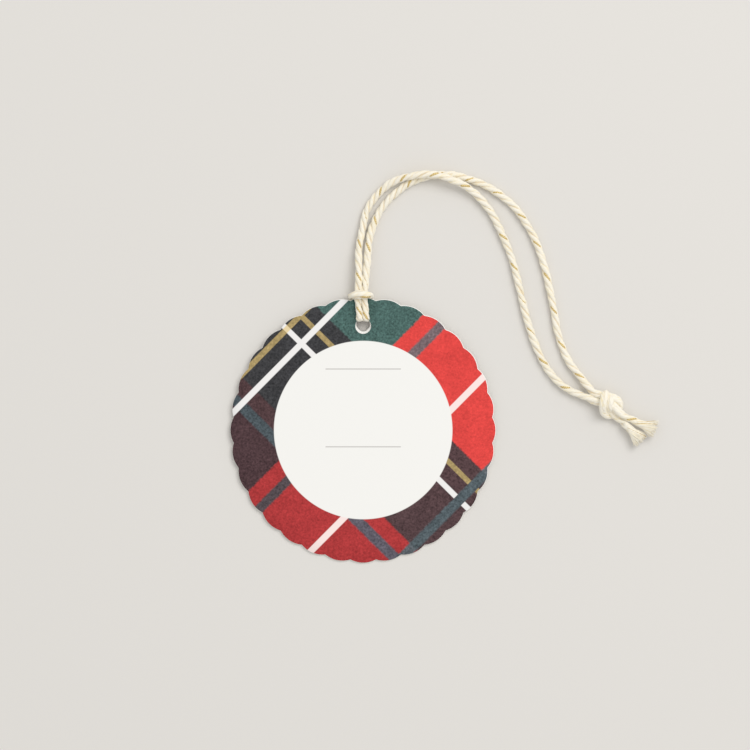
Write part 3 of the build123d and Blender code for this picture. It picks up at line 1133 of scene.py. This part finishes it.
def brush(end, length, spread):
    """Bundles start inside the twine, turn with its lay and straighten as they open, each a thin tapered
    tube. Their places in the section are an oval shell that the reach of the brush scales."""
    middle, ahead, flat, tall = end_frame(end)
    each = (BRUSH_BUNDLES, 1, 1)
    radius = np.sqrt(random.uniform(BRUSH_SHELL, 1, each))
    angle = random.uniform(0, 2 * np.pi, each)
    reach = length * random.uniform(*BRUSH_LENGTHS, each)
    share = np.linspace(0, 1, BRUSH_ROWS)[None, :, None]
    wide, high = brush_reach(share, spread)
    turn = angle - BRUSH_TWIST * (1 - share) ** 2
    stray = random.normal(0, BRUSH_STRAY, (BRUSH_BUNDLES, 1, 2)) * share**3
    across = radius * wide * np.cos(turn) + stray[..., :1]
    above = radius * high * np.sin(turn) + BRUSH_STRAY_HIGH * stray[..., 1:]
    path = middle + (share * (reach + BRUSH_BACK) - BRUSH_BACK) * ahead + across * flat + above * tall
    thick = random.uniform(*BRUSH_THICK, each) * (1 - BRUSH_TAPER * share**2)
    around = np.linspace(0, 2 * np.pi, BRUSH_SIDES, endpoint=False)[None, None, :, None]
    grid = path[:, :, None] + thick[..., None] * (np.cos(around) * tall - np.sin(around) * flat)
    along = np.broadcast_to((reach * share + BRUSH_STREAK_START * angle)[..., None], (*grid.shape[:3], 1))
    skin = [BRUSH_DEPTH + BRUSH_DEPTH_SWING * np.cos(around), BRUSH_DEPTH_SWING * np.sin(around)]
    skin = np.broadcast_to(np.concatenate(skin, axis=-1), (*grid.shape[:3], 2))
    golden = np.flatnonzero((np.cos(angle) < BRUSH_GOLD_SIDE) & (np.sin(angle) > 0))[:BRUSH_GOLD]
    return grid, np.concatenate([skin, along], axis=-1), np.isin(np.arange(BRUSH_BUNDLES), golden)


print("bundles in a brush", BRUSH_BUNDLES, "up to", BRUSH_GOLD, "of them gold")

# %% Core of a brush
CORE_SHARE = 0.85
CORE_LENGTH_SHARE = 0.78
CORE_SIDES = 24
WIDE_FLUTES = 7
WIDE_FLUTE_DEPTH = 0.07
WIDE_FLUTE_TWIST = 3.0
FINE_FLUTES = 11
FINE_FLUTE_DEPTH = 0.05


def brush_core(end, length, spread):
    """The yarns under the loose bundles: one tube with a fluted oval section inside the brush's reach."""
    middle, ahead, flat, tall = end_frame(end)
    share = np.linspace(0, 1, BRUSH_ROWS)[:, None, None]
    around = np.linspace(0, 2 * np.pi, CORE_SIDES, endpoint=False)[None, :, None]
    wide, high = brush_reach(share, spread)
    wide_flutes = WIDE_FLUTE_DEPTH * np.sin(WIDE_FLUTES * around + WIDE_FLUTE_TWIST * share)
    fine_flutes = FINE_FLUTE_DEPTH * np.sin(FINE_FLUTES * around)
    fluted = CORE_SHARE * (1 + wide_flutes + fine_flutes)
    path = middle + (share * (CORE_LENGTH_SHARE * length + BRUSH_BACK) - BRUSH_BACK) * ahead
    grid = path + fluted * (np.cos(around) * high * tall - np.sin(around) * wide * flat)
    along = np.broadcast_to(length * share, (*grid.shape[:2], 1))
    skin = np.broadcast_to(np.concatenate([np.cos(around), np.sin(around)], axis=-1), (*grid.shape[:2], 2))
    return grid, np.concatenate([skin, along], axis=-1)


print("core of a brush has rows and sides", BRUSH_ROWS, CORE_SIDES)

# %% [markdown]
# ## Cotton and gold
# The yarn is undyed cotton: cream where it is full, darker tan down in the grooves as painted shade, and
# streaked by its fibres. A pattern in the frame of the part would run straight through the twine. So the
# streaks read each yarn's own coordinates, and its depth from the middle of the twine says what is crown and
# what is groove, where the painted shade goes. The gold thread is a metal film wound round a core, which
# catches the light in short bands, so painted glints make its colour lighter in short bands along it.

# %% Cotton
STREAK_ROUND = 9.0
STREAK_ALONG = 1.1
STREAK_NOISE = (1.0, 3.0, 0.65)
STREAK_SHARE = 0.9
STREAK_BUMP = (0.6, 0.12)
CLOUD_NOISE = (0.25, 2.0)
CLOUD_SHARE = 0.3
TINT_NOISE = (0.33, 1.0)
TINT_FROM = 0.52
TINT_SHARP = 5.0
CROWN_FROM = 0.5
CROWN_SOFT = 0.36
GROOVE_PAINTED_SHADE = linear(228, 206, 165)
CROWN_CREAM = linear(251, 245, 230)
WARM_GROOVE_PAINTED_SHADE = linear(224, 200, 150)
WARM_CROWN = linear(252, 238, 196)
COTTON_ROUGHNESS = 0.92
COTTON_SHINE = 0.15
COTTON_SHEEN = 0.3
COTTON_SHEEN_ROUGHNESS = 0.6


def yarn_place(wire):
    """The coordinates that a yarn carries: two round it and one along it."""
    place = wire.node("ShaderNodeAttribute", outlet="Vector", attribute_name="yarn")
    parts = wire.node("ShaderNodeSeparateXYZ", {0: place})
    return [parts.output(axis) for axis in "XYZ"]


def cotton(name):
    """Soft undyed yarn: cream on the crowns, painted tan shade in the grooves, with streaks of fibre along
    each ply.
    """
    material, wire, shader = new_material(name)
    x, y, along = yarn_place(wire)
    depth = wire.math("SQRT", x * x + y * y)
    values = {0: x * STREAK_ROUND, 1: y * STREAK_ROUND, 2: along * STREAK_ALONG}
    stretched = wire.node("ShaderNodeCombineXYZ", values)
    streak = stretched.noise(*STREAK_NOISE)
    cloud = stretched.noise(*CLOUD_NOISE)
    # Painted shade: deep in the twine the colour turns to a darker tan, 0 here, and the crowns stay cream,
    # 1.
    crown = (depth - CROWN_FROM) / CROWN_SOFT + (streak - 0.5) * STREAK_SHARE + (cloud - 0.5) * CLOUD_SHARE
    crown = crown.clamped()
    warm = ((stretched.noise(*TINT_NOISE) - TINT_FROM) * TINT_SHARP).clamped()
    colour = warm.mix(crown.mix(GROOVE_PAINTED_SHADE, CROWN_CREAM), crown.mix(WARM_GROOVE_PAINTED_SHADE, WARM_CROWN))
    feed(shader, Base_Color=colour, Roughness=COTTON_ROUGHNESS, Specular_IOR_Level=COTTON_SHINE)
    feed(shader, Sheen_Weight=COTTON_SHEEN, Sheen_Roughness=COTTON_SHEEN_ROUGHNESS)
    feed(shader, Normal=streak.bump(*STREAK_BUMP))
    return material


cotton_material = cotton("undyed_cotton")
print("cotton has", len(cotton_material.node_tree.nodes), "nodes")

# %% Gold film
GLINT_BAND_RATE = 14.0
GOLD_DARK = linear(196, 169, 104)
GOLD_PAINTED_GLINT = linear(226, 203, 146)
GOLD_METALLIC = 0.4
GOLD_ROUGHNESS = 0.5


def gold_yarn(name):
    """Metallised thread: a darker gold and a lighter gold as painted glint, mixed by a sine wave along it,
    between 0 and 1.
    """
    material, wire, shader = new_material(name)
    along = yarn_place(wire)[2]
    # Painted glint: bands of lighter gold along the thread stand in for light caught by the wound film.
    glint_band = wire.math("SINE", along * GLINT_BAND_RATE) * 0.5 + 0.5
    colour = glint_band.mix(GOLD_DARK, GOLD_PAINTED_GLINT)
    feed(shader, Base_Color=colour, Metallic=GOLD_METALLIC, Roughness=GOLD_ROUGHNESS)
    return material


gold_material = gold_yarn("gold_thread")
finishes = [cotton_material, gold_material]
print("twine finishes", [finish.name for finish in finishes])

# %% [markdown]
# ## Cutting the twine at its bends
# The hitch lies at the card and the loop lies free. Between them the two strands bend in two places. The
# twine is cut there, so a short piece lies over each bend, and the rest of each strand rides on the loop.

# %% Places of the cuts
NECK_CUT = 37.6
BEND_CUT = 46.0


def passes(cut, way):
    """The first point from the bight, along one way of the line, that lies past a cut in y."""
    return bight + way * int(np.argmax(twine_line[bight::way, 1] > cut))


left_neck, left_bend = passes(NECK_CUT, -1), passes(BEND_CUT, -1)
right_neck, right_bend = passes(NECK_CUT, 1), passes(BEND_CUT, 1)
print("cuts at points", left_bend, left_neck, right_neck, right_bend)

hitch_pile = Pile()
lay_twine(hitch_pile, left_neck, right_neck + 1, press_to_hole)
hitch = hitch_pile.make("hitch_twine", finishes, "yarn")
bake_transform(hitch)
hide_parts("twine_hitch")

neck_pile = Pile()
lay_twine(neck_pile, left_bend, left_neck + 1)
lay_twine(neck_pile, right_neck, right_bend + 1)
neck = neck_pile.make("neck_twine", finishes, "yarn")
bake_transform(neck)
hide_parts("neck_left", "neck_right")

# %% [markdown]
# ## The strands of the loop
# Past the bends each strand is a free end of twine: its leg, its way through the knot, its tail and its
# brush. The brush could be part of the strand's mesh, but it is a piece of its own.

# %% Frayed ends of the strands
UPPER_BRUSH = (2.8, 1.95)
LOWER_BRUSH = (2.7, 1.85)


def frayed_end(name, end, length, spread, node):
    """The brush at one end of the twine, a piece of its own on the cord."""
    pile = Pile()
    grid, place, gold = brush(end, length, spread)
    pile.add(grid[~gold], COTTON, place[~gold])
    pile.add(grid[gold], GOLD, place[gold])
    grid, place = brush_core(end, length, spread)
    pile.add(grid, COTTON, place)
    piece = pile.make(name, finishes, "yarn")
    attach(piece, "loop")
    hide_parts(node)
    return piece


last = len(twine_line) - 1
frayed_upper = frayed_end("frayed_end_upper", 0, *UPPER_BRUSH, "tail_right")
frayed_lower = frayed_end("frayed_end_lower", last, *LOWER_BRUSH, "tail_left")


# %% Strands
def loop_strand(name, low, high, end, nodes):
    """One leg with its strand of the knot and its tail, from the bend to its end."""
    pile = Pile()
    lay_twine(pile, low, high)
    piece = pile.make(name, finishes, "yarn")
    path = twine_line[low:high] * MM
    path = path[::-1] if end == 0 else path
    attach(piece, "loop")
    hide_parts(*nodes)


loop_strand("strand_left", 0, left_bend + 1, 0, ["leg_left"])
loop_strand("strand_right", right_bend, last + 1, last, ["leg_right", "end_knot"])
